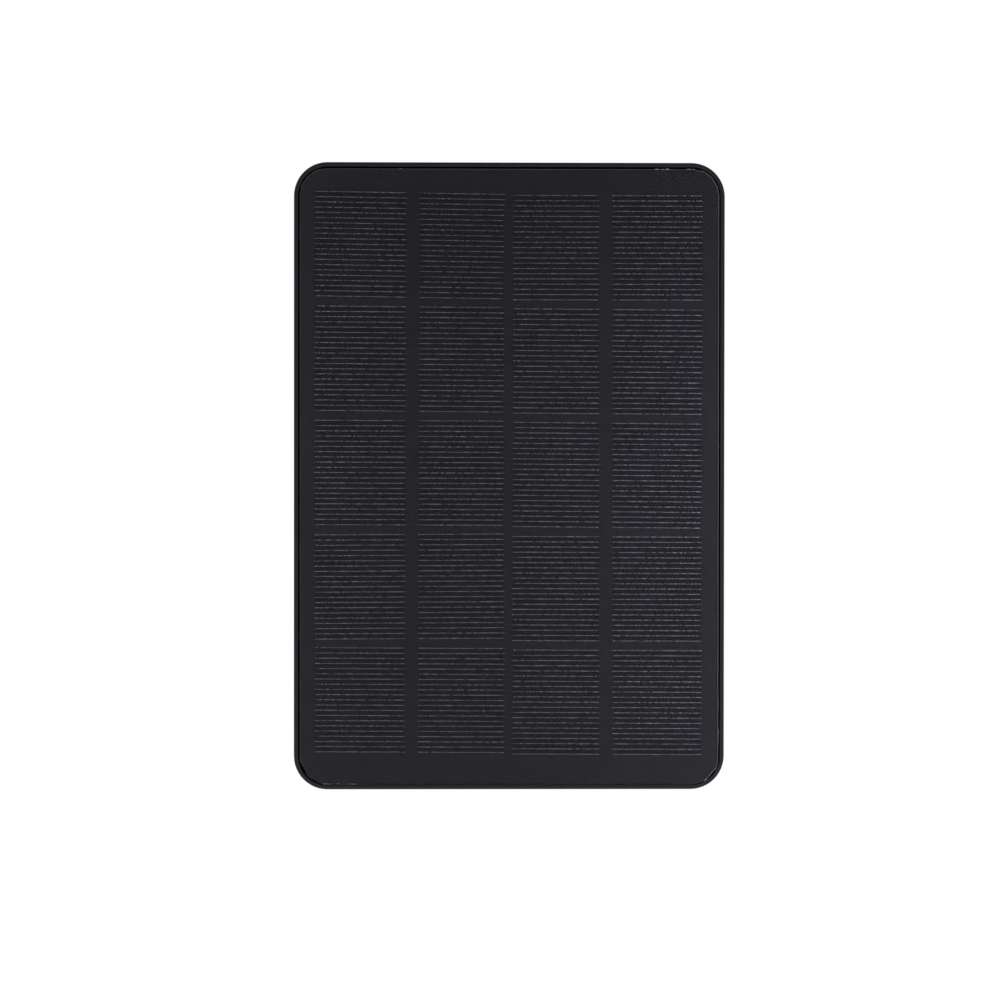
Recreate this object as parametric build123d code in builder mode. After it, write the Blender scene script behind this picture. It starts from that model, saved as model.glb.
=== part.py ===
"""Small framed solar panel for charging an outdoor camera, as a bench-separable assembly.

Frame: +X to the right seen from the front, +Z up along the panel's long side, +Y to the rear.
The origin is the centre of the mouth of the threaded bracket socket on the rear boss.
Depths below are measured rearward from the front edge of the housing's rim.
"""

from build123d import *
import os
from math import cos, radians, sin

# ------------------------------------------------ housing
WIDTH = 120.0
HEIGHT = 174.7
CORNER_R = 9.35
SLAB_DEPTH = 9.5
TOTAL_DEPTH = 18.0
RIM = 1.15
OUTER_FRONT_ROUND = 0.4
INNER_FRONT_ROUND = 0.15
REAR_ROUND = 2.6
FIELD_INSET = 7.0
FIELD_R = 5.0
FIELD_DEPTH = 0.4
FIELD_TAPER = 45.0
FIELD_REAR = SLAB_DEPTH - FIELD_DEPTH
FLOOR = 2.0
LEDGE = 3.4
RIB_THICK = 1.4
RIB_FRONT = 4.3
RIB_X = 37.0
RIB_ROWS = (55.0, 28.0, -24.0)

# ------------------------------------------------ laminate stack
# It rests on the recess's lower side, a little to the right.
GAP_TOP = 0.6
GAP_BOTTOM = 0.15
GAP_LEFT = 0.5
GAP_RIGHT = 0.4
LAMINATE_W = WIDTH - 2 * RIM - GAP_LEFT - GAP_RIGHT
LAMINATE_H = HEIGHT - 2 * RIM - GAP_TOP - GAP_BOTTOM
LAMINATE_X = (GAP_LEFT - GAP_RIGHT) / 2
LAMINATE_Z = (GAP_BOTTOM - GAP_TOP) / 2
# Its corners are trimmed by hand in a few straight cuts. These are the points where the cuts meet, from
# sideways to upright: an angle, and a distance from the centre of the housing's corner.
CORNER_CUTS = {
    (1, 1): ((4, 7.95), (20, 7.9), (44, 7.95), (64, 7.9), (86, 7.9)),
    (-1, 1): ((2, 7.9), (22, 7.9), (45, 7.8), (67, 7.85), (88, 7.75)),
    (-1, -1): ((10, 7.8), (46, 7.8), (74, 7.95), (90, 8.05)),
    (1, -1): ((2, 7.9), (12, 7.9), (25, 8.1), (58, 8.1), (80, 7.95), (90, 8.05)),
}
FILM_FRONT = 0.3
FILM_THICK = 0.25
FRONT_EVA = FILM_FRONT + FILM_THICK
CELL_FRONT = 1.0
CELL_THICK = 0.2
REAR_EVA = CELL_FRONT + CELL_THICK
BOARD_FRONT = 1.6
BOARD_THICK = 1.6
BOARD_REAR = BOARD_FRONT + BOARD_THICK
TAPE_THICK = 0.5
LEDGE_DEPTH = BOARD_REAR + TAPE_THICK
TAPE_MARGIN = 0.4
SEALANT_FRONT = 1.5

# ------------------------------------------------ cells
STRINGS = ("left", "right")
ROWS = 5
CELL_W = 54.0
CELL_H = 31.3
ROW_PITCH = 31.715
FINGERS = 21
FINGER_PITCH = 1.452
FINGER_LENGTH = 52.7
FINGER_WIDTH = 0.2
GRID_THICK = 0.03
BUSBAR_WIDTH = 1.6
RIBBON_WIDTH = 1.3
RIBBON_THICK = 0.15
RIBBON_SETBACK = 1.5
STEP_WIDTH = 0.16
MASK_WIDTH = 3.8
MASK_THICK = 0.1
GRID_FRONT = CELL_FRONT - GRID_THICK
RIBBON_FRONT = GRID_FRONT - RIBBON_THICK
MASK_FRONT = RIBBON_FRONT - MASK_THICK
# The strings are laid by hand: each has its own centre, each cell its own small turn in degrees and small
# sideways shift, and the strips over the ribbons lean a little, in degrees.
STRING_X = {"left": -27.95, "right": 27.37}
STRING_Z = {"left": 0.93, "right": 0.29}
CELL_TURN = {
    "left": (-0.85, -0.45, -0.2, 0.3, -0.29),
    "right": (-0.03, -0.35, -0.5, -0.2, -0.27),
}
CELL_SHIFT = {
    "left": (0.0, 0.0, -0.08, 0.06, 0.2),
    "right": (0.03, 0.08, -0.03, -0.11, 0.0),
}
BUSBAR_X = {"left": -27.13, "right": 26.9}
MASK_TURN = {"left": -0.18, "right": 0.09}
SLOT_TOP_Z = 81.6
SLOT_BOTTOM_Z = -80.4
MASK_PAST_SLOT = 1.3
MASK_LENGTH = SLOT_TOP_Z - SLOT_BOTTOM_Z + 2 * MASK_PAST_SLOT
MASK_Z = (SLOT_TOP_Z + SLOT_BOTTOM_Z) / 2
SLOT_W = 2.4
SLOT_H = 1.0
SLOT_R = 0.4
LINK_WIDTH = 2.0
PAD_X = 8.0
PAD_R = 1.9
PAD_THICK = 0.25

# ------------------------------------------------ rear boss and its insert
BOSS_R = 15.5
BOSS_TAPER = 6.0
BOSS_POST_R = 7.5
BOSS_POST_FRONT = 5.6
BOSS_GROOVE_R = 11.2
BOSS_GROOVE_WIDTH = 1.6
BOSS_GROOVE_DEPTH = 0.6
INSERT_R = 4.6
INSERT_LENGTH = 9.5
INSERT_NECK_R = 4.1
INSERT_NECK = 1.2
THREAD_MINOR_R = 2.6
THREAD_DEPTH = 8.0

# ------------------------------------------------ circuit pod
POD_W = 60.0
POD_H = 46.0
POD_R = 6.0
POD_Z = -52.0
POD_WALL = 2.5
POD_ROOF = 15.7
LID_THICK = 1.8
LID_ROUND = 0.7
GASKET_WIDTH = 1.1
GASKET_THICK = 0.7
GASKET_INSET = 0.7
WINDOW_W = 36.0
WINDOW_H = 22.0
WINDOW_R = 2.0
LID_SCREW_X = 26.0
LID_SCREW_Z = 19.0
LID_POST_R = 2.9
SCREW_R = 1.1
SCREW_HOLE_R = 1.35
SCREW_HEAD_R = 2.1
SCREW_HEAD = 1.0
HEAD_SINK = 0.1
SCREW_REACH = 6.0
SCREW_TIP_CLEAR = 0.5
SCREW_HEAD_ROUND = 0.4
HEAD_BORE_R = 2.35
DRIVE_LENGTH = 2.4
DRIVE_WIDTH = 0.55
DRIVE_DEPTH = 0.7

# ------------------------------------------------ charge regulator
PCB_W = 44.0
PCB_H = 34.0
PCB_R = 1.5
PCB_BOTTOM_Z = -71.2
PCB_FRONT = 9.8
PCB_THICK = 1.2
PCB_REAR = PCB_FRONT + PCB_THICK
PCB_Z = PCB_BOTTOM_Z + PCB_H / 2
PCB_SCREW_X = 19.5
PCB_SCREW_Z = 14.0
PCB_SCREW_R = 0.8
PCB_HOLE_R = 1.0
PCB_SCREW_HEAD_R = 1.6
PCB_SCREW_HEAD = 0.8
PCB_SCREW_REACH = 3.0
PCB_SCREW_TIP_CLEAR = 0.3
PCB_SCREW_HEAD_ROUND = 0.3
PCB_DRIVE_LENGTH = 1.8
PCB_DRIVE_WIDTH = 0.4
PCB_DRIVE_DEPTH = 0.4
PCB_POST_R = 2.2
# Bodies soldered to the rear of the board: centres from the board's centre, width and height, thickness.
BOARD_BLOCKS = {
    "regulator_chip": ([(-6.0, 2.0)], (5.0, 4.4), 1.1),
    "blocking_diode": ([(13.0, -8.0)], (2.7, 4.5), 2.2),
    "filter_capacitors": ([(-15.0, -7.0), (-11.0, -7.0), (13.0, 9.0)], (2.5, 3.2), 1.5),
}
BLOCK_R = 0.2
INDUCTOR_X = 4.5
INDUCTOR_Z = PCB_Z + 3.5
INDUCTOR_FOOT = 6.0
INDUCTOR_FOOT_R = 1.0
INDUCTOR_FLANGE_R = 2.8
INDUCTOR_FLANGE = 0.7
INDUCTOR_CORE_R = 1.4
COIL_R = 2.5
COIL_HEIGHT = 1.6

# ------------------------------------------------ charging port
SHELL_W = 8.94
SHELL_H = 3.2
PORT_AXIS_DEPTH = PCB_REAR + SHELL_H / 2
SHELL_WALL = 0.3
SHELL_LENGTH = 7.3
SHELL_NOSE_Z = -73.6
TONGUE_W = 6.7
TONGUE_H = 0.7
TONGUE_LENGTH = 4.4
PORT_BLOCK = 1.6
PORT_CLEAR = 0.1
WELL_W = 10.6
WELL_H = 4.2
WELL_R = 1.4
WELL_DEPTH = 1.3
SEAL_WIDTH = 1.2
SEAL_THICK = 1.0
POD_BOTTOM_Z = POD_Z - POD_H / 2
COVER_THICK = 1.2
COVER_H = 5.0
COVER_R = 1.2
COVER_EDGE = 0.2
COVER_REACH = 7.6
COVER_LIP = 0.5
COVER_LIP_LENGTH = 1.4
PLUG_W = 10.0
PLUG_H = 3.8
PLUG_R = 1.2
PLUG_DEPTH = 1.2
HINGE_X = -8.4
HINGE_Z = POD_BOTTOM_Z - COVER_THICK / 2
HINGE_CLEAR = 0.1
ANCHOR_LENGTH = 5.0
ANCHOR_STEM_R = 1.2
ANCHOR_STEM = 1.8
ANCHOR_STEM_X = HINGE_X - 3.4

# ------------------------------------------------ leads
LEAD_R = 0.65
LEAD_DEPTH = 5.2
LEAD_END_Z = -63.0
LEAD_BEND = 1.3


def layer(depth):
    """The plane at a depth behind the rim, seen from the front: local x is +X, local y is +Z."""
    return Plane.XZ.offset(TOTAL_DEPTH - depth)


def at_depth(depth):
    """The Y coordinate of a depth behind the rim."""
    return depth - TOTAL_DEPTH


def laminate_outline(shrink=0.0):
    """The laminate's outline: straight sides and corners trimmed in a few straight cuts."""
    points = []
    for (side_x, side_z), cuts in CORNER_CUTS.items():
        edge_x = LAMINATE_W / 2 + side_x * LAMINATE_X - shrink
        edge_z = LAMINATE_H / 2 + side_z * LAMINATE_Z - shrink
        onward = cuts if side_x == side_z else reversed(cuts)
        for turn, radius in onward:
            x = WIDTH / 2 - CORNER_R + (radius - shrink) * cos(radians(turn))
            z = HEIGHT / 2 - CORNER_R + (radius - shrink) * sin(radians(turn))
            points.append((side_x * min(x, edge_x), side_z * min(z, edge_z)))
    with BuildSketch() as outline:
        with BuildLine():
            Polyline(*points, close=True)
        make_face()
    return outline.sketch


def pod_ring(inset, width):
    """A closed band that follows the pod's outline."""
    far = inset + width
    with BuildSketch() as ring:
        with Locations((0, POD_Z)):
            RectangleRounded(POD_W - 2 * inset, POD_H - 2 * inset, POD_R - inset)
            RectangleRounded(POD_W - 2 * far, POD_H - 2 * far, POD_R - far, mode=Mode.SUBTRACT)
    return ring.sketch


def cell_spots(string):
    """Centre and turn of each cell in a string, from the top down."""
    spots = []
    for row, (turn, shift) in enumerate(zip(CELL_TURN[string], CELL_SHIFT[string])):
        z = STRING_Z[string] + ROW_PITCH * ((ROWS - 1) / 2 - row)
        spots.append((STRING_X[string] + shift, z, turn))
    return spots


def export(piece, label):
    piece.part.label = label
    export_step(piece.part, f"parts/{label}.step")


os.makedirs("parts", exist_ok=True)

# ================================================ rear housing
# One moulding: slab with rim and ledge, stiffening ribs, bracket boss and the walls of the circuit pod.
RIM_R = CORNER_R - RIM
CAVITY_W = WIDTH - 2 * (RIM + LEDGE)
CAVITY_H = HEIGHT - 2 * (RIM + LEDGE)
CAVITY_R = CORNER_R - RIM - LEDGE
FLOOR_FRONT = SLAB_DEPTH - FLOOR
lid_screws = [(x, POD_Z + z) for x in (-LID_SCREW_X, LID_SCREW_X) for z in (-LID_SCREW_Z, LID_SCREW_Z)]
pcb_screws = [(x, PCB_Z + z) for x in (-PCB_SCREW_X, PCB_SCREW_X) for z in (-PCB_SCREW_Z, PCB_SCREW_Z)]

with BuildPart() as rear_housing:
    with BuildSketch(layer(0)):
        RectangleRounded(WIDTH, HEIGHT, CORNER_R)
    extrude(amount=-SLAB_DEPTH)
    fillet(rear_housing.faces().sort_by(Axis.Y)[-1].edges(), REAR_ROUND)
    fillet(rear_housing.faces().sort_by(Axis.Y)[0].edges(), OUTER_FRONT_ROUND)
    # the rear face is a shallow field inside a border
    with BuildSketch(layer(SLAB_DEPTH)):
        RectangleRounded(WIDTH - 2 * FIELD_INSET, HEIGHT - 2 * FIELD_INSET, FIELD_R)
    extrude(amount=FIELD_DEPTH, mode=Mode.SUBTRACT, taper=FIELD_TAPER)
    # laminate recess, then the cavity behind the ledge
    with BuildSketch(layer(0)):
        RectangleRounded(WIDTH - 2 * RIM, HEIGHT - 2 * RIM, RIM_R)
    extrude(amount=-LEDGE_DEPTH, mode=Mode.SUBTRACT)
    fillet(
        rear_housing.faces().sort_by(Axis.Y)[0].inner_wires()[0].edges(),
        INNER_FRONT_ROUND,
    )
    with BuildSketch(layer(LEDGE_DEPTH)):
        RectangleRounded(CAVITY_W, CAVITY_H, CAVITY_R)
    extrude(amount=LEDGE_DEPTH - FLOOR_FRONT, mode=Mode.SUBTRACT)
    # ribs on the floor
    with BuildSketch(layer(RIB_FRONT)):
        with Locations((-RIB_X, 0), (RIB_X, 0)):
            Rectangle(RIB_THICK, CAVITY_H)
        with Locations(*[(0, z) for z in RIB_ROWS]):
            Rectangle(CAVITY_W, RIB_THICK)
    extrude(amount=RIB_FRONT - FLOOR_FRONT)
    # bracket boss with its post inside and a drip groove round its face
    with BuildSketch(layer(FIELD_REAR)):
        Circle(BOSS_R)
    extrude(amount=FIELD_REAR - TOTAL_DEPTH, taper=BOSS_TAPER)
    with BuildSketch(layer(BOSS_POST_FRONT)):
        Circle(BOSS_POST_R)
    extrude(amount=BOSS_POST_FRONT - FLOOR_FRONT)
    with BuildSketch(layer(TOTAL_DEPTH)):
        Circle(BOSS_GROOVE_R + BOSS_GROOVE_WIDTH / 2)
        Circle(BOSS_GROOVE_R - BOSS_GROOVE_WIDTH / 2, mode=Mode.SUBTRACT)
    extrude(amount=BOSS_GROOVE_DEPTH, mode=Mode.SUBTRACT)
    with BuildSketch(layer(TOTAL_DEPTH)):
        Circle(INSERT_R)
    extrude(amount=INSERT_LENGTH, mode=Mode.SUBTRACT)
    # pod walls on the rear face, with posts for the lid's screws
    with BuildSketch(layer(FIELD_REAR)):
        add(pod_ring(0, POD_WALL))
        with Locations(*lid_screws):
            Circle(LID_POST_R)
    extrude(amount=FIELD_REAR - POD_ROOF)
    with BuildSketch(layer(FIELD_REAR)):
        with Locations(*pcb_screws):
            Circle(PCB_POST_R)
    extrude(amount=FIELD_REAR - PCB_FRONT)
    with BuildSketch(layer(FLOOR_FRONT)):
        with Locations((0, PCB_Z)):
            RectangleRounded(WINDOW_W, WINDOW_H, WINDOW_R)
    extrude(amount=-FLOOR, mode=Mode.SUBTRACT)
    with BuildSketch(layer(POD_ROOF)):
        add(pod_ring(GASKET_INSET, GASKET_WIDTH))
    extrude(amount=GASKET_THICK, mode=Mode.SUBTRACT)
    # pilot holes
    with BuildSketch(layer(POD_ROOF)):
        with Locations(*lid_screws):
            Circle(SCREW_R)
    extrude(amount=SCREW_REACH, mode=Mode.SUBTRACT)
    with BuildSketch(layer(PCB_FRONT)):
        with Locations(*pcb_screws):
            Circle(PCB_SCREW_R)
    extrude(amount=PCB_SCREW_REACH - PCB_THICK, mode=Mode.SUBTRACT)
    # charging port in the pod's lower wall, and the hole for the cover's anchor stem
    with BuildSketch(Plane.XY.offset(POD_BOTTOM_Z)):
        with Locations((0, at_depth(PORT_AXIS_DEPTH))):
            RectangleRounded(WELL_W, WELL_H, WELL_R)
    extrude(amount=WELL_DEPTH, mode=Mode.SUBTRACT)
    with BuildSketch(Plane.XY.offset(POD_BOTTOM_Z)):
        with Locations((0, at_depth(PORT_AXIS_DEPTH))):
            SlotOverall(SHELL_W + 2 * PORT_CLEAR, SHELL_H + 2 * PORT_CLEAR)
    extrude(amount=POD_WALL, mode=Mode.SUBTRACT)
    with BuildSketch(Plane.XY.offset(POD_BOTTOM_Z)):
        with Locations((ANCHOR_STEM_X, at_depth(PORT_AXIS_DEPTH))):
            Circle(ANCHOR_STEM_R)
    extrude(amount=ANCHOR_STEM, mode=Mode.SUBTRACT)
export(rear_housing, "rear_housing")

# ================================================ bracket insert
with BuildPart() as bracket_insert:
    with BuildSketch(layer(TOTAL_DEPTH)):
        Circle(INSERT_R)
    extrude(amount=INSERT_LENGTH)
    with BuildSketch(layer(TOTAL_DEPTH - INSERT_LENGTH / 2 + INSERT_NECK / 2)):
        Circle(INSERT_R)
        Circle(INSERT_NECK_R, mode=Mode.SUBTRACT)
    extrude(amount=INSERT_NECK, mode=Mode.SUBTRACT)
    with BuildSketch(layer(TOTAL_DEPTH)):
        Circle(THREAD_MINOR_R)
    extrude(amount=THREAD_DEPTH, mode=Mode.SUBTRACT)
export(bracket_insert, "bracket_insert")

# ================================================ front film, edge sealant, mounting tape
with BuildPart() as front_film:
    with BuildSketch(layer(FILM_FRONT)):
        add(laminate_outline())
    extrude(amount=-FILM_THICK)
export(front_film, "front_film")

with BuildPart() as edge_sealant:
    with BuildSketch(layer(SEALANT_FRONT)):
        RectangleRounded(WIDTH - 2 * RIM, HEIGHT - 2 * RIM, RIM_R)
        add(laminate_outline(), mode=Mode.SUBTRACT)
    extrude(amount=SEALANT_FRONT - LEDGE_DEPTH)
export(edge_sealant, "edge_sealant")

with BuildPart() as mounting_tape:
    with BuildSketch(layer(BOARD_REAR)):
        add(laminate_outline(TAPE_MARGIN))
        RectangleRounded(CAVITY_W, CAVITY_H, CAVITY_R, mode=Mode.SUBTRACT)
    extrude(amount=-TAPE_THICK)
export(mounting_tape, "mounting_tape")

# ================================================ cells and their printed grids
string_top = {}
for string in STRINGS:
    spots = cell_spots(string)
    string_top[string] = spots[0][1] + CELL_H / 2
    for row, (x, z, turn) in enumerate(spots, start=1):
        with BuildPart() as cell:
            with BuildSketch(layer(CELL_FRONT)):
                with Locations(Location((x, z), turn)):
                    Rectangle(CELL_W, CELL_H)
            extrude(amount=-CELL_THICK)
        export(cell, f"cell_{string}_{row}")
        with BuildPart() as grid:
            with BuildSketch(layer(GRID_FRONT)):
                with Locations(Location((x, z), turn)):
                    with GridLocations(0, FINGER_PITCH, 1, FINGERS):
                        Rectangle(FINGER_LENGTH, FINGER_WIDTH)
                with Locations(Location((x, z), turn)):
                    with Locations((BUSBAR_X[string] - x, 0)):
                        Rectangle(BUSBAR_WIDTH, FINGER_PITCH * (FINGERS - 1))
            extrude(amount=-GRID_THICK)
        export(grid, f"cell_grid_{string}_{row}")

# ================================================ ribbons
# A ribbon lies on the front of one cell, steps through the gap below it and runs on behind the next.
# The top cell's rear is reached from a slot above it, and the bottom cell's front ribbon ends in a slot.
RIBBON_REAR = REAR_EVA + RIBBON_THICK
for string in STRINGS:
    spots = cell_spots(string)
    x = BUSBAR_X[string]
    with BuildPart() as ribbons:
        for row, (_, z, _) in enumerate(spots):
            low = z - CELL_H / 2
            high = z + CELL_H / 2
            step_z = low - (ROW_PITCH - CELL_H) / 2
            last = row == ROWS - 1
            front_low = SLOT_BOTTOM_Z if last else step_z
            front_high = high - RIBBON_SETBACK
            with BuildSketch(layer(RIBBON_FRONT)):
                with Locations((x, (front_low + front_high) / 2)):
                    Rectangle(RIBBON_WIDTH, front_high - front_low)
            extrude(amount=-RIBBON_THICK)
            drop_end = BOARD_REAR if last else RIBBON_REAR
            with BuildSketch(layer(RIBBON_FRONT)):
                with Locations((x, front_low)):
                    Rectangle(RIBBON_WIDTH, STEP_WIDTH)
            extrude(amount=RIBBON_FRONT - drop_end)
            if not last:
                next_low = spots[row + 1][1] - CELL_H / 2 + RIBBON_SETBACK
                with BuildSketch(layer(REAR_EVA)):
                    with Locations((x, (step_z + next_low) / 2)):
                        Rectangle(RIBBON_WIDTH, step_z - next_low)
                extrude(amount=-RIBBON_THICK)
        top_low = spots[0][1] - CELL_H / 2 + RIBBON_SETBACK
        with BuildSketch(layer(REAR_EVA)):
            with Locations((x, (SLOT_TOP_Z + top_low) / 2)):
                Rectangle(RIBBON_WIDTH, SLOT_TOP_Z - top_low)
        extrude(amount=-RIBBON_THICK)
        with BuildSketch(layer(REAR_EVA)):
            with Locations((x, SLOT_TOP_Z)):
                Rectangle(RIBBON_WIDTH, STEP_WIDTH)
        extrude(amount=REAR_EVA - BOARD_REAR)
    export(ribbons, f"ribbons_{string}")

# black strips that hide the ribbons
for string in STRINGS:
    with BuildPart() as mask:
        with BuildSketch(layer(MASK_FRONT)):
            with Locations(Location((BUSBAR_X[string], MASK_Z), MASK_TURN[string])):
                Rectangle(MASK_WIDTH, MASK_LENGTH)
        extrude(amount=-MASK_THICK)
    export(mask, f"ribbon_mask_{string}")

# ================================================ base board and what is soldered behind it
slots = [(BUSBAR_X[s], z) for s in STRINGS for z in (SLOT_TOP_Z, SLOT_BOTTOM_Z)]
with BuildPart() as base_board:
    with BuildSketch(layer(BOARD_FRONT)):
        add(laminate_outline())
        with Locations(*slots):
            RectangleRounded(SLOT_W, SLOT_H, SLOT_R, mode=Mode.SUBTRACT)
    extrude(amount=-BOARD_THICK)
export(base_board, "base_board")

with BuildPart() as string_link:
    with BuildSketch(layer(BOARD_REAR)):
        with Locations(((BUSBAR_X["left"] + BUSBAR_X["right"]) / 2, SLOT_TOP_Z)):
            Rectangle(BUSBAR_X["right"] - BUSBAR_X["left"] + LINK_WIDTH, LINK_WIDTH)
    extrude(amount=-RIBBON_THICK)
export(string_link, "string_link")

with BuildPart() as output_ribbons:
    with BuildSketch(layer(BOARD_REAR)):
        for side, string in ((-1, "left"), (1, "right")):
            inner = side * (PAD_X + PAD_R)
            outer = BUSBAR_X[string] + side * LINK_WIDTH / 2
            with Locations(((inner + outer) / 2, SLOT_BOTTOM_Z)):
                Rectangle(abs(outer - inner), LINK_WIDTH)
    extrude(amount=-RIBBON_THICK)
export(output_ribbons, "output_ribbons")

with BuildPart() as solder_pads:
    with BuildSketch(layer(BOARD_REAR)):
        with Locations((-PAD_X, SLOT_BOTTOM_Z), (PAD_X, SLOT_BOTTOM_Z)):
            Circle(PAD_R)
    extrude(amount=-PAD_THICK)
export(solder_pads, "solder_pads")

# ================================================ encapsulant, in front of and behind the cells
with BuildPart() as front_encapsulant:
    with BuildSketch(layer(FRONT_EVA)):
        add(laminate_outline())
    extrude(amount=FRONT_EVA - REAR_EVA)
    for string in STRINGS:
        top = string_top[string]
        with BuildSketch(layer(CELL_FRONT)):
            for x, z, turn in cell_spots(string):
                with Locations(Location((x, z), turn)):
                    Rectangle(CELL_W, CELL_H)
        extrude(amount=-CELL_THICK, mode=Mode.SUBTRACT)
        with BuildSketch(layer(GRID_FRONT)):
            for x, z, turn in cell_spots(string):
                with Locations(Location((x, z), turn)):
                    Rectangle(FINGER_LENGTH, FINGER_PITCH * (FINGERS - 1) + FINGER_WIDTH)
        extrude(amount=-GRID_THICK, mode=Mode.SUBTRACT)
        with BuildSketch(layer(MASK_FRONT)):
            with Locations(Location((BUSBAR_X[string], MASK_Z), MASK_TURN[string])):
                Rectangle(MASK_WIDTH, MASK_LENGTH)
        extrude(amount=-MASK_THICK, mode=Mode.SUBTRACT)
        ribbon_low = SLOT_BOTTOM_Z - STEP_WIDTH / 2
        with BuildSketch(layer(RIBBON_FRONT)):
            with Locations((BUSBAR_X[string], (top + ribbon_low) / 2)):
                Rectangle(RIBBON_WIDTH, top - ribbon_low)
        extrude(amount=RIBBON_FRONT - REAR_EVA, mode=Mode.SUBTRACT)
export(front_encapsulant, "front_encapsulant")

with BuildPart() as rear_encapsulant:
    with BuildSketch(layer(REAR_EVA)):
        add(laminate_outline())
    extrude(amount=REAR_EVA - BOARD_FRONT)
    for string in STRINGS:
        ribbon_high = SLOT_TOP_Z + STEP_WIDTH / 2
        ribbon_low = SLOT_BOTTOM_Z - STEP_WIDTH / 2
        with BuildSketch(layer(REAR_EVA)):
            with Locations((BUSBAR_X[string], (ribbon_high + ribbon_low) / 2)):
                Rectangle(RIBBON_WIDTH, ribbon_high - ribbon_low)
        extrude(amount=-RIBBON_THICK, mode=Mode.SUBTRACT)
        with BuildSketch(layer(REAR_EVA)):
            with Locations((BUSBAR_X[string], SLOT_TOP_Z), (BUSBAR_X[string], SLOT_BOTTOM_Z)):
                Rectangle(RIBBON_WIDTH, STEP_WIDTH)
        extrude(amount=REAR_EVA - BOARD_FRONT, mode=Mode.SUBTRACT)
export(rear_encapsulant, "rear_encapsulant")

# ================================================ pod lid, gasket and screws
LID_REAR = POD_ROOF + LID_THICK
with BuildPart() as pod_lid:
    with BuildSketch(layer(POD_ROOF)):
        with Locations((0, POD_Z)):
            RectangleRounded(POD_W, POD_H, POD_R)
    extrude(amount=-LID_THICK)
    fillet(pod_lid.faces().sort_by(Axis.Y)[-1].edges(), LID_ROUND)
    with BuildSketch(layer(LID_REAR)):
        with Locations(*lid_screws):
            Circle(SCREW_HOLE_R)
    extrude(amount=LID_THICK, mode=Mode.SUBTRACT)
    with BuildSketch(layer(LID_REAR)):
        with Locations(*lid_screws):
            Circle(HEAD_BORE_R)
    extrude(amount=SCREW_HEAD + HEAD_SINK, mode=Mode.SUBTRACT)
export(pod_lid, "pod_lid")

with BuildPart() as lid_gasket:
    with BuildSketch(layer(POD_ROOF)):
        add(pod_ring(GASKET_INSET, GASKET_WIDTH))
    extrude(amount=GASKET_THICK)
export(lid_gasket, "lid_gasket")

HEAD_SEAT = LID_REAR - SCREW_HEAD - HEAD_SINK
with BuildPart() as lid_screw_set:
    with BuildSketch(layer(HEAD_SEAT)):
        with Locations(*lid_screws):
            Circle(SCREW_HEAD_R)
    extrude(amount=-SCREW_HEAD)
    fillet(lid_screw_set.faces().sort_by(Axis.Y)[-4:].edges(), SCREW_HEAD_ROUND)
    with BuildSketch(layer(HEAD_SEAT)):
        with Locations(*lid_screws):
            Circle(SCREW_R)
    extrude(amount=HEAD_SEAT - POD_ROOF + SCREW_REACH - SCREW_TIP_CLEAR)
    with BuildSketch(layer(HEAD_SEAT + SCREW_HEAD)):
        with Locations(*lid_screws):
            Rectangle(DRIVE_LENGTH, DRIVE_WIDTH)
            Rectangle(DRIVE_WIDTH, DRIVE_LENGTH)
    extrude(amount=DRIVE_DEPTH, mode=Mode.SUBTRACT)
export(lid_screw_set, "lid_screws")

# ================================================ charge regulator board
with BuildPart() as regulator_board:
    with BuildSketch(layer(PCB_FRONT)):
        with Locations((0, PCB_Z)):
            RectangleRounded(PCB_W, PCB_H, PCB_R)
        with Locations(*pcb_screws):
            Circle(PCB_HOLE_R, mode=Mode.SUBTRACT)
    extrude(amount=-PCB_THICK)
export(regulator_board, "regulator_board")

with BuildPart() as board_screw_set:
    with BuildSketch(layer(PCB_REAR)):
        with Locations(*pcb_screws):
            Circle(PCB_SCREW_HEAD_R)
    extrude(amount=-PCB_SCREW_HEAD)
    fillet(board_screw_set.faces().sort_by(Axis.Y)[-4:].edges(), PCB_SCREW_HEAD_ROUND)
    with BuildSketch(layer(PCB_REAR)):
        with Locations(*pcb_screws):
            Circle(PCB_SCREW_R)
    extrude(amount=PCB_SCREW_REACH - PCB_SCREW_TIP_CLEAR)
    with BuildSketch(layer(PCB_REAR + PCB_SCREW_HEAD)):
        with Locations(*pcb_screws):
            Rectangle(PCB_DRIVE_LENGTH, PCB_DRIVE_WIDTH)
            Rectangle(PCB_DRIVE_WIDTH, PCB_DRIVE_LENGTH)
    extrude(amount=PCB_DRIVE_DEPTH, mode=Mode.SUBTRACT)
export(board_screw_set, "board_screws")

for label, (places, (block_w, block_h), block_thick) in BOARD_BLOCKS.items():
    with BuildPart() as block:
        with BuildSketch(layer(PCB_REAR)):
            with Locations(*[(x, PCB_Z + z) for x, z in places]):
                RectangleRounded(block_w, block_h, BLOCK_R)
        extrude(amount=-block_thick)
    export(block, label)

COIL_FRONT = PCB_REAR + INDUCTOR_FLANGE
with BuildPart() as inductor_core:
    with BuildSketch(layer(PCB_REAR)):
        with Locations((INDUCTOR_X, INDUCTOR_Z)):
            RectangleRounded(INDUCTOR_FOOT, INDUCTOR_FOOT, INDUCTOR_FOOT_R)
    extrude(amount=-INDUCTOR_FLANGE)
    with BuildSketch(layer(COIL_FRONT)):
        with Locations((INDUCTOR_X, INDUCTOR_Z)):
            Circle(INDUCTOR_CORE_R)
    extrude(amount=-COIL_HEIGHT)
    with BuildSketch(layer(COIL_FRONT + COIL_HEIGHT)):
        with Locations((INDUCTOR_X, INDUCTOR_Z)):
            Circle(INDUCTOR_FLANGE_R)
    extrude(amount=-INDUCTOR_FLANGE)
export(inductor_core, "inductor_core")

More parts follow.
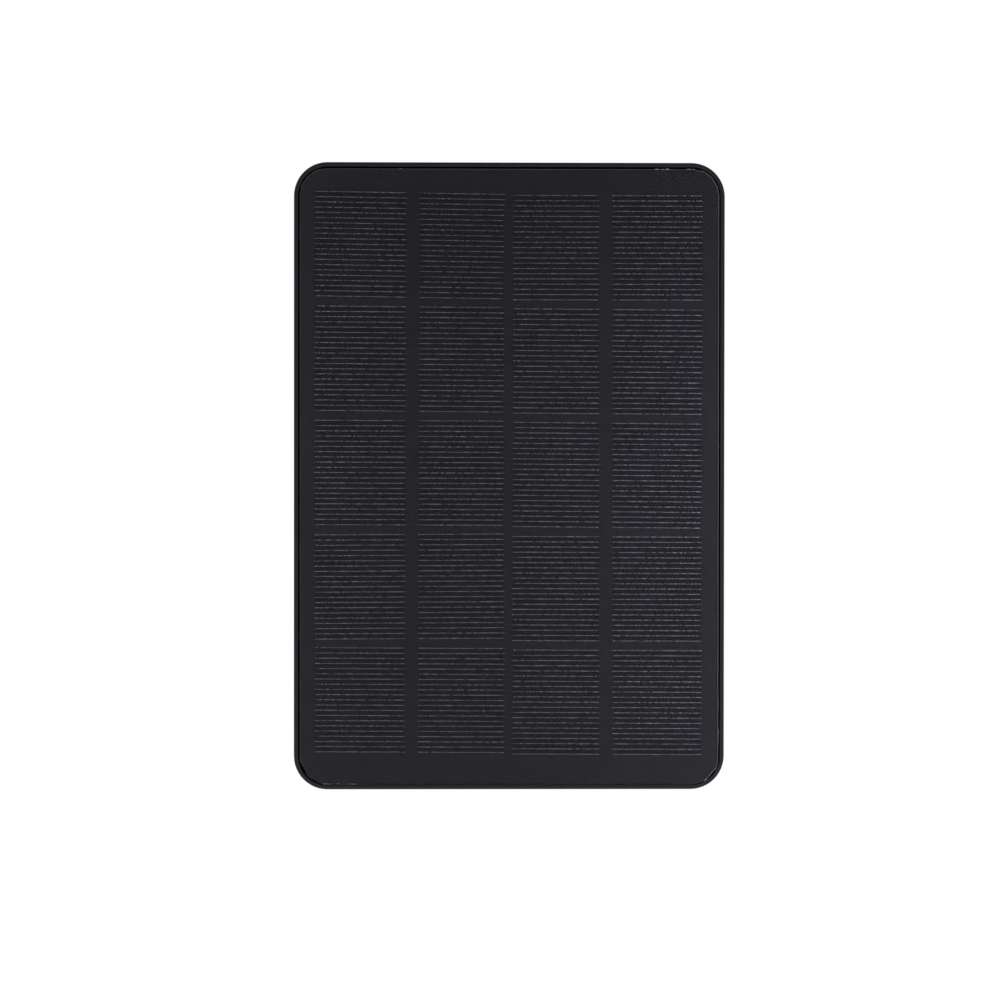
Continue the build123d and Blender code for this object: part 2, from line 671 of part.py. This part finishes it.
with BuildPart() as inductor_coil:
    with BuildSketch(layer(COIL_FRONT)):
        with Locations((INDUCTOR_X, INDUCTOR_Z)):
            Circle(COIL_R)
            Circle(INDUCTOR_CORE_R, mode=Mode.SUBTRACT)
    extrude(amount=-COIL_HEIGHT)
export(inductor_coil, "inductor_coil")

# ================================================ charging receptacle and its seal
PORT_Y = at_depth(PORT_AXIS_DEPTH)
with BuildPart() as receptacle_shell:
    with BuildSketch(Plane.XY.offset(SHELL_NOSE_Z)):
        with Locations((0, PORT_Y)):
            SlotOverall(SHELL_W, SHELL_H)
            SlotOverall(SHELL_W - 2 * SHELL_WALL, SHELL_H - 2 * SHELL_WALL, mode=Mode.SUBTRACT)
    extrude(amount=SHELL_LENGTH)
export(receptacle_shell, "receptacle_shell")

with BuildPart() as receptacle_tongue:
    with BuildSketch(Plane.XY.offset(SHELL_NOSE_Z + SHELL_LENGTH - PORT_BLOCK)):
        with Locations((0, PORT_Y)):
            SlotOverall(SHELL_W - 2 * SHELL_WALL, SHELL_H - 2 * SHELL_WALL)
    extrude(amount=PORT_BLOCK)
    with BuildSketch(Plane.XY.offset(SHELL_NOSE_Z + SHELL_LENGTH - PORT_BLOCK)):
        with Locations((0, PORT_Y)):
            Rectangle(TONGUE_W, TONGUE_H)
    extrude(amount=-TONGUE_LENGTH)
export(receptacle_tongue, "receptacle_tongue")

with BuildPart() as port_seal:
    with BuildSketch(Plane.XY.offset(POD_BOTTOM_Z + POD_WALL)):
        with Locations((0, PORT_Y)):
            SlotOverall(SHELL_W + 2 * SEAL_WIDTH, SHELL_H + 2 * SEAL_WIDTH)
            SlotOverall(SHELL_W, SHELL_H, mode=Mode.SUBTRACT)
    extrude(amount=SEAL_THICK)
export(port_seal, "port_seal")

# ================================================ port cover and its anchor
with BuildPart() as port_cover:
    # the barrel lies on the hinge line
    with BuildSketch(Plane.XZ.offset(-PORT_Y + COVER_H / 2)):
        with Locations((HINGE_X, HINGE_Z)):
            Circle(COVER_THICK / 2)
    extrude(amount=-COVER_H)
    with BuildSketch(Plane.XY.offset(POD_BOTTOM_Z - COVER_THICK)):
        with Locations(((HINGE_X + COVER_REACH) / 2, PORT_Y)):
            Rectangle(COVER_REACH - HINGE_X, COVER_H)
    extrude(amount=COVER_THICK)
    with BuildSketch(Plane.XY.offset(POD_BOTTOM_Z)):
        with Locations((0, PORT_Y)):
            RectangleRounded(PLUG_W, PLUG_H, PLUG_R)
    extrude(amount=PLUG_DEPTH)
    with BuildSketch(Plane.XY.offset(POD_BOTTOM_Z - COVER_THICK)):
        with Locations((COVER_REACH - COVER_LIP_LENGTH / 2, PORT_Y)):
            Rectangle(COVER_LIP_LENGTH, COVER_H)
    extrude(amount=-COVER_LIP)
    fillet(port_cover.edges().filter_by(Axis.Z).group_by(Axis.X)[-1], COVER_R)
    fillet(port_cover.faces().sort_by(Axis.Z)[0].edges(), COVER_EDGE)
export(port_cover, "port_cover")

ANCHOR_END_X = HINGE_X - COVER_THICK / 2 - HINGE_CLEAR
with BuildPart() as cover_anchor:
    with BuildSketch(Plane.XY.offset(POD_BOTTOM_Z - COVER_THICK)):
        with Locations((ANCHOR_END_X - ANCHOR_LENGTH / 2, PORT_Y)):
            Rectangle(ANCHOR_LENGTH, COVER_H)
    extrude(amount=COVER_THICK)
    fillet(cover_anchor.edges().filter_by(Axis.Z).group_by(Axis.X)[0], COVER_R)
    fillet(cover_anchor.faces().sort_by(Axis.Z)[0].edges(), COVER_EDGE)
    with BuildSketch(Plane.XY.offset(POD_BOTTOM_Z)):
        with Locations((ANCHOR_STEM_X, PORT_Y)):
            Circle(ANCHOR_STEM_R)
    extrude(amount=ANCHOR_STEM)
export(cover_anchor, "cover_anchor")


# ================================================ leads from the laminate to the regulator board
def lead(label, side):
    """A wire from a solder pad, up behind the laminate and back to the regulator board's front."""
    start = Vector(side * PAD_X, at_depth(BOARD_REAR + PAD_THICK), SLOT_BOTTOM_Z)
    rise = Vector(side * PAD_X, at_depth(LEAD_DEPTH), SLOT_BOTTOM_Z)
    over = Vector(side * PAD_X / 2, at_depth(LEAD_DEPTH), LEAD_END_Z)
    end = Vector(side * PAD_X / 2, at_depth(PCB_FRONT), LEAD_END_Z)
    with BuildPart() as wire:
        with BuildLine() as route:
            FilletPolyline(start, rise, over, end, radius=LEAD_BEND)
        with BuildSketch(Plane(origin=start, z_dir=(0, 1, 0))):
            Circle(LEAD_R)
        sweep(path=route.wires()[0])
    export(wire, label)


lead("positive_lead", 1)
lead("negative_lead", -1)
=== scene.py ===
"""Looks of the small framed solar panel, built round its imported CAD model. Metres, row frame:
+X right and +Z up seen from the front, +Y to the rear, the cells facing -Y."""

from math import cos, radians, sin, tau
import random

import bmesh
import bpy
from mathutils import Matrix, Vector

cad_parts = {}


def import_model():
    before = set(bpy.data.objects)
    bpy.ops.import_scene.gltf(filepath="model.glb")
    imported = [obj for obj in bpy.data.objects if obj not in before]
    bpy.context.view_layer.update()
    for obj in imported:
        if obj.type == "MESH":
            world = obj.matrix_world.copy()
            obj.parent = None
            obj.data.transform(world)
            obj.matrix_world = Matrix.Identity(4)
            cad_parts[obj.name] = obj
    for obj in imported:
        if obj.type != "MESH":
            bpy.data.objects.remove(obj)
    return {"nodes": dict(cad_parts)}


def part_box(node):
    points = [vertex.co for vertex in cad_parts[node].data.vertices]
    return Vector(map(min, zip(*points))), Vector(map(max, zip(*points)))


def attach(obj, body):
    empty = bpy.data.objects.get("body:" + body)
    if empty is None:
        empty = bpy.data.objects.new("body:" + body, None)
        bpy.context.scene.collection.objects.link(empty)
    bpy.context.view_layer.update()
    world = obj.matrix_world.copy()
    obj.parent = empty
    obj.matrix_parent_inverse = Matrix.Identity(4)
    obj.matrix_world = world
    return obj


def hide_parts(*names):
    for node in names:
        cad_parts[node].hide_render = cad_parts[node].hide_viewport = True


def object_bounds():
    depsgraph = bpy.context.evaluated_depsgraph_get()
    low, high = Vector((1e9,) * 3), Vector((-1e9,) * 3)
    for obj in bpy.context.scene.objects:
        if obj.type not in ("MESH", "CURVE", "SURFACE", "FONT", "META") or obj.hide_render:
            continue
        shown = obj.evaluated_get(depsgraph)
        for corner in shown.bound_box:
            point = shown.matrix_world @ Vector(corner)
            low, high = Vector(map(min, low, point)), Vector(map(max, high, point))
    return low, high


MM = 0.001
TOUCHING = 0.001 * MM

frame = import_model()
cad_low, cad_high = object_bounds()
nodes = frame["nodes"]
random.seed(7)


# ---------------------------------------------------------------- node helpers
class Shader:
    """A material under construction: its tree, its Principled node and short calls for usual parts."""

    def __init__(self, name, colour=(0.8, 0.8, 0.8), roughness=0.5, metallic=0.0, specular=0.5):
        self.material = bpy.data.materials.new(name)
        self.material.use_nodes = True
        self.tree = self.material.node_tree
        self.principled = self.tree.nodes["Principled BSDF"]
        self.output = self.tree.nodes["Material Output"]
        self.principled.inputs["Base Color"].default_value = (*colour, 1)
        self.principled.inputs["Roughness"].default_value = roughness
        self.principled.inputs["Metallic"].default_value = metallic
        self.principled.inputs["Specular IOR Level"].default_value = specular
        self.place = self.add("ShaderNodeTexCoord").outputs["Object"]

    def add(self, kind, **settings):
        node = self.tree.nodes.new(kind)
        for key, value in settings.items():
            setattr(node, key, value)
        return node

    def link(self, source, target):
        self.tree.links.new(source, target)

    def noise(self, grain, detail=2.0, roughness=0.5, stretch=(1, 1, 1)):
        """Noise whose features are about grain metres across."""
        mapping = self.add("ShaderNodeMapping")
        mapping.inputs["Scale"].default_value = [s / grain for s in stretch]
        self.link(self.place, mapping.inputs["Vector"])
        noise = self.add("ShaderNodeTexNoise")
        noise.inputs["Scale"].default_value = 1.0
        noise.inputs["Detail"].default_value = detail
        noise.inputs["Roughness"].default_value = roughness
        self.link(mapping.outputs["Vector"], noise.inputs["Vector"])
        return noise.outputs["Fac"]

    def ramp(self, factor, *stops):
        """A colour ramp through (position, grey or colour) stops."""
        node = self.add("ShaderNodeValToRGB")
        elements = node.color_ramp.elements
        while len(elements) < len(stops):
            elements.new(0.5)
        for element, (position, colour) in zip(elements, stops):
            rgb = (colour,) * 3 if isinstance(colour, (int, float)) else colour
            element.position = position
            element.color = (*rgb, 1)
        self.link(factor, node.inputs["Fac"])
        return node.outputs["Color"]

    def vary(self, socket, factor, *stops):
        """Drives a socket of the Principled node by a ramp of a factor."""
        self.link(self.ramp(factor, *stops), self.principled.inputs[socket])

    def bump(self, height, strength, distance, *shaders):
        """Bumps these shader nodes, or the Principled node."""
        bump = self.add("ShaderNodeBump")
        bump.inputs["Strength"].default_value = strength
        bump.inputs["Distance"].default_value = distance
        self.link(height, bump.inputs["Height"])
        for shader in shaders or (self.principled,):
            self.link(bump.outputs["Normal"], shader.inputs["Normal"])


def finish_nodes(shader, *names):
    """Gives CAD nodes this material."""
    for name in names:
        mesh = nodes[name].data
        mesh.materials.clear()
        mesh.materials.append(shader.material)


# ---------------------------------------------------------------- materials
def moulded(name, colour, roughness, grain, depth, specular=0.5):
    """Moulded plastic with a fine spark-eroded texture and slightly uneven colour and gloss."""
    s = Shader(name, colour, roughness, 0.0, specular)
    dark, light = ([c * share for c in colour] for share in (0.92, 1.08))
    glossy, dull = roughness - 0.05, roughness + 0.05
    s.vary("Base Color", s.noise(9 * MM, 3), (0.3, dark), (0.7, light))
    s.vary("Roughness", s.noise(1.6 * MM), (0.3, glossy), (0.7, dull))
    s.bump(s.noise(grain), 0.6, depth)
    return s


def metal(name, colour, roughness, grain, streak=(1, 1, 1)):
    """Bare metal with slightly uneven colour and gloss, and a grain that can be drawn out in streaks."""
    s = Shader(name, colour, roughness, 1.0)
    dark = [c * 0.75 for c in colour]
    glossy, dull = roughness - 0.08, roughness + 0.1
    s.vary("Base Color", s.noise(3 * MM, 4), (0.35, dark), (0.65, colour))
    s.vary("Roughness", s.noise(grain, 3, 0.6, streak), (0.3, glossy), (0.7, dull))
    s.bump(s.noise(grain, stretch=streak), 0.3, 0.01 * MM)
    return s


def silicon(name, dark, light, fine, coarse):
    """Monocrystalline silicon whose tone varies a little from place to place, with a fine grain."""
    s = Shader(name, roughness=0.6, specular=0.0)
    tone = s.ramp(s.noise(14 * MM), (0.35, dark), (0.65, light))
    grain = s.ramp(s.noise(0.25 * MM, 1), (0.38, fine), (0.62, coarse))
    mix = s.add("ShaderNodeMix", data_type="RGBA", blend_type="MULTIPLY")
    mix.inputs["Factor"].default_value = 1.0
    s.link(tone, mix.inputs["A"])
    s.link(grain, mix.inputs["B"])
    s.link(mix.outputs["Result"], s.principled.inputs["Base Color"])
    return s


def silver_paste_and_glints():
    """Printed silver with painted glints: its colour breaks into bright beads and dark gaps, painting how
    light through the pebbled film above it makes it look.
    """
    s = Shader("grid_silver", roughness=0.6, specular=0.0)
    dark, middle, bright = (0.02, 0.02, 0.022), (0.175, 0.168, 0.195), (0.73, 0.7, 0.78)
    s.vary("Base Color", s.noise(0.22 * MM, 1), (0.38, dark), (0.5, middle), (0.62, bright))
    return s


def clear_film(name, cloud, roughness):
    """Clear film with a pebbled matte face: mostly see-through, a little haze, a broad soft reflection.
    Light that meets it at more than about 44 degrees from square doesn't get through to the cells,
    because Blender takes the Fresnel node's IOR inverted on the way out."""
    s = Shader(name)
    s.tree.nodes.remove(s.principled)
    clear = s.add("ShaderNodeBsdfTransparent")
    clear.inputs["Color"].default_value = (0.97, 0.97, 0.99, 1)
    haze = s.add("ShaderNodeBsdfDiffuse")
    haze.inputs["Color"].default_value = (0.3, 0.29, 0.33, 1)
    gloss = s.add("ShaderNodeBsdfGlossy")
    gloss.inputs["Roughness"].default_value = roughness
    body = s.add("ShaderNodeMixShader")
    body.inputs["Fac"].default_value = cloud
    s.link(clear.outputs[0], body.inputs[1])
    s.link(haze.outputs[0], body.inputs[2])
    fresnel = s.add("ShaderNodeFresnel")
    fresnel.inputs["IOR"].default_value = 1.45
    surface = s.add("ShaderNodeMixShader")
    s.link(fresnel.outputs[0], surface.inputs["Fac"])
    s.link(body.outputs[0], surface.inputs[1])
    s.link(gloss.outputs[0], surface.inputs[2])
    s.link(surface.outputs[0], s.output.inputs["Surface"])
    s.bump(s.noise(0.5 * MM, 1.5), 0.3, 0.02 * MM, gloss, haze)
    return s


def clear_resin():
    """The inside of the clear encapsulant, where it lies against the cells: nothing is reflected there."""
    s = Shader("encapsulant_clear")
    s.tree.nodes.remove(s.principled)
    clear = s.add("ShaderNodeBsdfTransparent")
    tint = s.ramp(s.noise(12 * MM), (0.3, (0.97, 0.97, 0.98)), (0.7, 1.0))
    s.link(tint, clear.inputs["Color"])
    s.link(clear.outputs[0], s.output.inputs["Surface"])
    return s


def glinting_squeeze_out():
    """Squeezed-out clear encapsulant, light grey in patches: painted glints where it catches the light."""
    s = Shader("edge_clear", roughness=0.25)
    dark, bright = (0.06, 0.06, 0.065), (0.45, 0.45, 0.46)
    s.vary("Base Color", s.noise(0.5 * MM), (0.4, dark), (0.62, bright))
    return s


housing_black = moulded("housing_black", (0.0145, 0.0143, 0.0168), 0.55, 0.32 * MM, 0.03 * MM, 0.4)
silicone = moulded("silicone_black", (0.018, 0.018, 0.019), 0.72, 0.6 * MM, 0.01 * MM)
black_strip = moulded("mask_black", (0.037, 0.035, 0.046), 0.5, 0.5 * MM, 0.01 * MM, 0.0)
board_black = moulded("board_black", (0.0385, 0.0365, 0.0475), 0.5, 0.5 * MM, 0.01 * MM, 0.0)
# Near-black, far darker than real black sealant: painted shade at the bottom of the gap round the
# laminate.
gap_shade_sealant = moulded("sealant_black", (0.0008, 0.0008, 0.0008), 0.6, 1.4 * MM, 0.05 * MM, 0.05)
foam = moulded("tape_foam", (0.02, 0.02, 0.02), 0.9, 0.3 * MM, 0.05 * MM)
chip = moulded("chip_black", (0.02, 0.02, 0.021), 0.45, 0.12 * MM, 0.01 * MM)
ferrite = moulded("ferrite", (0.06, 0.06, 0.065), 0.6, 0.2 * MM, 0.03 * MM)
board_green = moulded("board_green", (0.01, 0.11, 0.04), 0.35, 2.0 * MM, 0.01 * MM)
capacitor = moulded("capacitor_tan", (0.42, 0.3, 0.18), 0.4, 0.2 * MM, 0.01 * MM)
lead_red = moulded("lead_red", (0.4, 0.015, 0.012), 0.5, 0.5 * MM, 0.01 * MM)
lead_black = moulded("lead_black", (0.015, 0.015, 0.015), 0.5, 0.5 * MM, 0.01 * MM)
brass = metal("brass_insert", (0.72, 0.5, 0.22), 0.3, 0.4 * MM)
screw_steel = metal("screw_steel", (0.12, 0.12, 0.125), 0.38, 0.3 * MM)
shell_steel = metal("shell_steel", (0.6, 0.6, 0.6), 0.28, 0.4 * MM, (1, 1, 0.1))
tin = metal("ribbon_tin", (0.7, 0.7, 0.7), 0.35, 0.6 * MM)
solder = metal("solder", (0.68, 0.68, 0.7), 0.25, 0.8 * MM)
copper = metal("copper_wire", (0.75, 0.33, 0.15), 0.3, 0.2 * MM, (1, 8, 1))
# Painted shade: the first, darker silicon tone goes on a thin sheet over each cell's finger field.
finger_shade = silicon("cell_coat", (0.0165, 0.015, 0.023), (0.0205, 0.0185, 0.0315), 0.3, 1.7)
cells = silicon("cell_silicon", (0.034, 0.032, 0.0425), (0.038, 0.0355, 0.0485), 0.8, 1.2)
grid = silver_paste_and_glints()
film = clear_film("film_clear", 0.015, 0.5)
resin = clear_resin()
squeeze_out_glints = glinting_squeeze_out()
cloudy_edge = clear_film("film_edge", 0.2, 0.25)

# ---------------------------------------------------------------- carried-over CAD nodes
finish_nodes(housing_black, "rear_housing", "pod_lid")
finish_nodes(silicone, "port_cover", "cover_anchor", "port_seal", "lid_gasket")
finish_nodes(black_strip, "ribbon_mask_left", "ribbon_mask_right")
finish_nodes(board_black, "base_board", "rear_encapsulant")
finish_nodes(gap_shade_sealant, "edge_sealant")
finish_nodes(foam, "mounting_tape")
finish_nodes(chip, "regulator_chip", "blocking_diode", "receptacle_tongue")
finish_nodes(ferrite, "inductor_core")
finish_nodes(board_green, "regulator_board")
finish_nodes(capacitor, "filter_capacitors")
finish_nodes(lead_red, "positive_lead")
finish_nodes(lead_black, "negative_lead")
finish_nodes(screw_steel, "lid_screws", "board_screws")
finish_nodes(shell_steel, "receptacle_shell")
finish_nodes(tin, "ribbons_left", "ribbons_right", "string_link", "output_ribbons")
finish_nodes(solder, "solder_pads")
finish_nodes(copper, "inductor_coil")
finish_nodes(cells, *[n for n in nodes if n.startswith(("cell_left", "cell_right"))])
finish_nodes(grid, *[n for n in nodes if n.startswith("cell_grid")])


# ---------------------------------------------------------------- shape helpers
def bridge(shape, one, other):
    """Joins two rings of vertices by a band of quads, and gives the band's faces."""
    following = [*range(1, len(one)), 0]
    return [shape.faces.new((one[k], one[n], other[n], other[k])) for k, n in enumerate(following)]


def prism(shape, outline, front, back):
    """Adds a closed prism with this (x, z) outline between two depths."""
    near = [shape.verts.new((x, front, z)) for x, z in outline]
    far = [shape.verts.new((x, back, z)) for x, z in outline]
    shape.faces.new(near)
    shape.faces.new(list(reversed(far)))
    bridge(shape, far, near)


def front_loop(name):
    """The outline of a flat CAD node's front face, in order, as (x, z) pairs."""
    low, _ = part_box(name)
    shape = bmesh.new()
    shape.from_mesh(nodes[name].data)
    bmesh.ops.remove_doubles(shape, verts=shape.verts, dist=TOUCHING)
    points = [v.co for v in shape.verts if abs(v.co.y - low.y) < TOUCHING]
    centre = sum(points, Vector()) / len(points)

    def bearing(point):
        return Vector((point.x - centre.x, point.z - centre.z)).angle_signed(Vector((1, 0)))

    loop = [(p.x, p.z) for p in sorted(points, key=bearing)]
    shape.free()
    return loop


def piece(name, shape, slot, *shaders):
    """Makes a visible piece of the panel from a finished shape."""
    bmesh.ops.recalc_face_normals(shape, faces=shape.faces)
    mesh = bpy.data.meshes.new(name)
    shape.to_mesh(mesh)
    shape.free()
    for shader in shaders:
        mesh.materials.append(shader.material)
    made = bpy.data.objects.new(name, mesh)
    bpy.context.scene.collection.objects.link(made)
    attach(made, "panel")
    return made


# ---------------------------------------------------------------- new pieces
def laminate_face():
    """The film and the clear encapsulant above the cells, as one clear sheet with a softened front edge.
    Its cut edge is cloudy, so it shows as a slightly lighter line."""
    film_low, film_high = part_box("front_film")
    mask_low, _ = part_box("ribbon_mask_left")
    loop = front_loop("front_film")
    ease = 0.08 * MM
    mask_clearance = 0.02 * MM
    cloudy_right, cloudy_left, cloudy_top, cloudy_bottom = 0.3 * MM, 0.16 * MM, 0.2 * MM, 0.12 * MM
    inner_slot, edge_slot = 1, 2
    shape = bmesh.new()

    def ring(y, right, left, top, bottom):
        """The sheet's outline at a depth, drawn in by an amount on each side."""
        verts = []
        for x, z in loop:
            x -= x * (right / film_high.x if x > 0 else left / -film_low.x)
            z -= z * (top / film_high.z if z > 0 else bottom / -film_low.z)
            verts.append(shape.verts.new((x, y, z)))
        return verts

    rings = [
        ring(film_low.y, cloudy_right, cloudy_left, cloudy_top, cloudy_bottom),
        ring(film_low.y, ease, ease, ease, ease),
        ring(film_low.y + ease, 0, 0, 0, 0),
        ring(mask_low.y - mask_clearance, 0, 0, 0, 0),
    ]
    for upper, lower in zip(rings, rings[1:]):
        for face in bridge(shape, upper, lower):
            face.material_index = edge_slot
    shape.faces.new(rings[0])
    shape.faces.new(list(reversed(rings[-1]))).material_index = inner_slot
    sheet = piece("laminate_face", shape, "film_clear", film, resin, cloudy_edge)
    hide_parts("front_film", "front_encapsulant")


def bracket_insert():
    """The brass insert, knurled outside and threaded inside. Its quarter-inch thread is cut as a helix."""
    low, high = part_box("bracket_insert")
    outer = (high.x - low.x) / 2
    base, mouth = low.y, high.y

    minor = 2.6 * MM
    cut = 0.55 * MM
    pitch = 1.27 * MM
    flank = 2.7
    bore_end = mouth - 8.0 * MM
    thread_end = mouth - 0.5 * MM
    thread_steps = 96

    knurls = 32
    knurl_depth = 0.14 * MM
    knurl_ease = 0.3 * MM
    neck_depth = 0.5 * MM
    neck_front, neck_rear = ((mouth + base) / 2 + side * 0.6 * MM for side in (-1, 1))
    sectors = knurls * 4

    def threaded(turn, y):
        phase = ((mouth - y) / pitch + turn / tau) % 1.0
        return minor + cut * min(1.0, max(0.0, flank / 2 - flank * abs(phase - 0.5)))

    def knurled(turn, y):
        ridge = abs((turn * knurls / tau) % 1.0 - 0.5) * 2
        return outer - knurl_depth * ridge

    def plain(radius):
        return lambda turn, y: radius

    # From the bottom of the bore up to the mouth, over its face and down the outside.
    profile = [(bore_end, plain(minor * 0.5)), (bore_end, plain(minor))]
    for step in range(1, thread_steps + 1):
        profile.append((bore_end + (thread_end - bore_end) * step / thread_steps, threaded))
    profile += [
        (mouth - 0.04 * MM, plain(minor + cut + 0.15 * MM)),
        (mouth, plain(minor + cut + 0.22 * MM)),
        (mouth, plain(outer - 0.35 * MM)),
        (mouth - 0.06 * MM, plain(outer - 0.25 * MM)),
        (mouth - knurl_ease, knurled),
        (neck_rear, knurled),
        (neck_rear, plain(outer - neck_depth)),
        (neck_front, plain(outer - neck_depth)),
        (neck_front, knurled),
        (base + knurl_ease, knurled),
        (base, plain(outer - 0.35 * MM)),
        (base, plain(outer * 0.5)),
    ]

    shape = bmesh.new()
    turns = [tau * k / sectors for k in range(sectors)]
    rings = []
    for y, radius in profile:
        rings.append([shape.verts.new((radius(t, y) * cos(t), y, radius(t, y) * sin(t))) for t in turns])
    for one, other in zip(rings, rings[1:]):
        bridge(shape, one, other)
    shape.faces.new(rings[0])
    shape.faces.new(list(reversed(rings[-1])))
    insert = piece("threaded_insert", shape, "brass_insert", brass)
    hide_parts("bracket_insert")


def edge_beads():
    """Slivers of encapsulant squeezed out along the laminate's cut edge; they catch the light, and their
    light grey patches are painted glints.
    """
    low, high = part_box("front_film")
    top, right = high.z / MM, high.x / MM
    bottom = low.z / MM + 0.2
    runs = (  # millimetres: start, end, and the share of the run that has slivers
        ((-51.9, bottom), (-42.6, bottom), 0.55),
        ((36.7, top), (51.5, top), 0.35),
        ((-30.6, top), (-30.0, top), 0.8),
        ((right, -60.0), (right, -75.4), 0.5),
        ((57.9, -81.4), (54.9, -84.75), 0.75),
    )
    sliver = ((-1, 0), (-0.3, 1), (0.6, 0.8), (1, 0), (0.4, -0.9), (-0.6, -1))
    lengths, widths, gaps, drift = (0.3, 1.6), (0.05, 0.12), (0.1, 0.5), (-0.04, 0.04)
    front, back = low.y - 0.02 * MM, low.y + 0.25 * MM
    shape = bmesh.new()
    for start, end, share in runs:
        start, end = (Vector((x * MM, 0, z * MM)) for x, z in (start, end))
        along = (end - start).normalized()
        across = Vector((along.z, 0, -along.x))
        reach = 0.0
        while reach < (end - start).length:
            length = random.uniform(*lengths) * MM
            if random.random() < share:
                width = random.uniform(*widths) * MM
                middle = start + along * (reach + length / 2) + across * random.uniform(*drift) * MM
                spots = [middle + along * a * length / 2 + across * b * width for a, b in sliver]
                prism(shape, [(spot.x, spot.z) for spot in spots], front, back)
            reach += length + random.uniform(*gaps) * MM
    piece("edge_beads", shape, "encapsulant_clear", squeeze_out_glints)


def cell_coats():
    """A dark sheet over each cell's finger field, under its printed fingers: painted shade that darkens
    the silicon between the fingers. It stops short of the cell's paler edges.
    """
    rise, sink = 0.012 * MM, 0.01 * MM
    shape = bmesh.new()
    for name in sorted(n for n in nodes if n.startswith("cell_grid")):
        cell = name.replace("_grid", "")
        loop = [Vector(point) for point in front_loop(cell)]
        sides = [b - a for a, b in zip(loop, loop[1:] + loop[:1])]
        along = max(sides, key=lambda side: side.length).normalized()
        across = Vector((-along.y, along.x))
        spots = [Vector((v.co.x, v.co.z)) for v in nodes[name].data.vertices]
        (left, right), (low, high) = (
            [pick(spot.dot(axis) for spot in spots) for pick in (min, max)] for axis in (along, across)
        )
        corners = (left, low), (right, low), (right, high), (left, high)
        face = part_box(cell)[0].y
        prism(shape, [along * a + across * b for a, b in corners], face - rise, face + sink)
    piece("cell_coats", shape, "cell_silicon", finger_shade)


laminate_face()
bracket_insert()
edge_beads()
cell_coats()

# ---------------------------------------------------------------- floor, light and camera
FLOOR_DROP = 0.16
FLOOR_RADIUS = 0.9
CAMERA_DISTANCE = 1.0
CAMERA_AZIMUTH = -1.2
CAMERA_ELEVATION = 0.87
CAMERA_ROLL = 0.057
AIM = Vector((-2.47 * MM, cad_low.y, -6.75 * MM))
VIEW_WIDTH = 278.95 * MM


def floor():
    """A plain pale disc below the panel, which glows a little so that it stays pale."""
    pale = Shader("floor_pale", (0.85, 0.85, 0.85), 0.9)
    pale.principled.inputs["Emission Color"].default_value = (1, 1, 1, 1)
    pale.principled.inputs["Emission Strength"].default_value = 0.25
    shape = bmesh.new()
    bmesh.ops.create_circle(shape, cap_ends=True, segments=96, radius=FLOOR_RADIUS)
    mesh = bpy.data.meshes.new("floor")
    shape.to_mesh(mesh)
    shape.free()
    mesh.materials.append(pale.material)
    made = bpy.data.objects.new("floor", mesh)
    made.location = (0, 0, cad_low.z - FLOOR_DROP)
    bpy.context.scene.collection.objects.link(made)


def area_light(name, spot, size, power, glossy=True, tint=(1, 1, 1)):
    """A square softbox that faces the object's middle and isn't seen itself."""
    data = bpy.data.lights.new(name, "AREA")
    data.size = size
    data.energy = power
    data.color = tint
    made = bpy.data.objects.new(name, data)
    made.visible_camera = False
    made.visible_glossy = glossy
    made.location = spot
    made.rotation_euler = (-Vector(spot)).to_track_quat("-Z", "Y").to_euler()
    bpy.context.scene.collection.objects.link(made)


def world():
    """White to the camera, a dimmer even sky to the object."""
    made = bpy.data.worlds.new("studio")
    bpy.context.scene.world = made
    made.use_nodes = True
    tree = made.node_tree
    sky = tree.nodes["Background"]
    sky.inputs["Strength"].default_value = 0.2
    sky.inputs["Color"].default_value = (0.95, 0.94, 1.0, 1)
    seen = tree.nodes.new("ShaderNodeBackground")
    seen.inputs["Strength"].default_value = 1.0
    seen.inputs["Color"].default_value = (1, 1, 1, 1)
    mix = tree.nodes.new("ShaderNodeMixShader")
    path = tree.nodes.new("ShaderNodeLightPath")
    tree.links.new(path.outputs["Is Camera Ray"], mix.inputs["Fac"])
    tree.links.new(sky.outputs[0], mix.inputs[1])
    tree.links.new(seen.outputs[0], mix.inputs[2])
    tree.links.new(mix.outputs[0], tree.nodes["World Output"].inputs["Surface"])


def camera():
    """A long lens at the photograph's viewing angle."""
    data = bpy.data.cameras.new("camera")
    data.sensor_width = 36
    data.lens = data.sensor_width * CAMERA_DISTANCE / VIEW_WIDTH
    made = bpy.data.objects.new("camera", data)
    turn, rise = radians(CAMERA_AZIMUTH), radians(CAMERA_ELEVATION)
    back = Vector((sin(turn) * cos(rise), -cos(turn) * cos(rise), sin(rise)))
    look = (-back).to_track_quat("-Z", "Y").to_matrix().to_4x4()
    roll = Matrix.Rotation(radians(CAMERA_ROLL), 4, "Z")
    made.location = AIM + back * CAMERA_DISTANCE
    made.rotation_mode = "QUATERNION"
    made.rotation_quaternion = (look @ roll).to_quaternion()
    bpy.context.scene.collection.objects.link(made)
    bpy.context.scene.camera = made


floor()
world()
# The first two light the cells. The rest light the back and the rim.
area_light("softbox_key", (0.207, -0.168, -0.018), 0.15, 0.57, glossy=False, tint=(1.0, 0.99, 0.96))
area_light("softbox_fill", (-0.165, -0.169, 0.005), 0.15, 0.135, glossy=False)
area_light("softbox_rear_left", (-0.8, 0.9, 0.6), 0.8, 10.0)
area_light("softbox_rear_right", (0.9, 0.8, 0.5), 0.8, 6.0)
area_light("softbox_top", (0.0, 1.1, 0.6), 0.9, 3.0)
camera()
bpy.context.scene.view_settings.view_transform = "Standard"
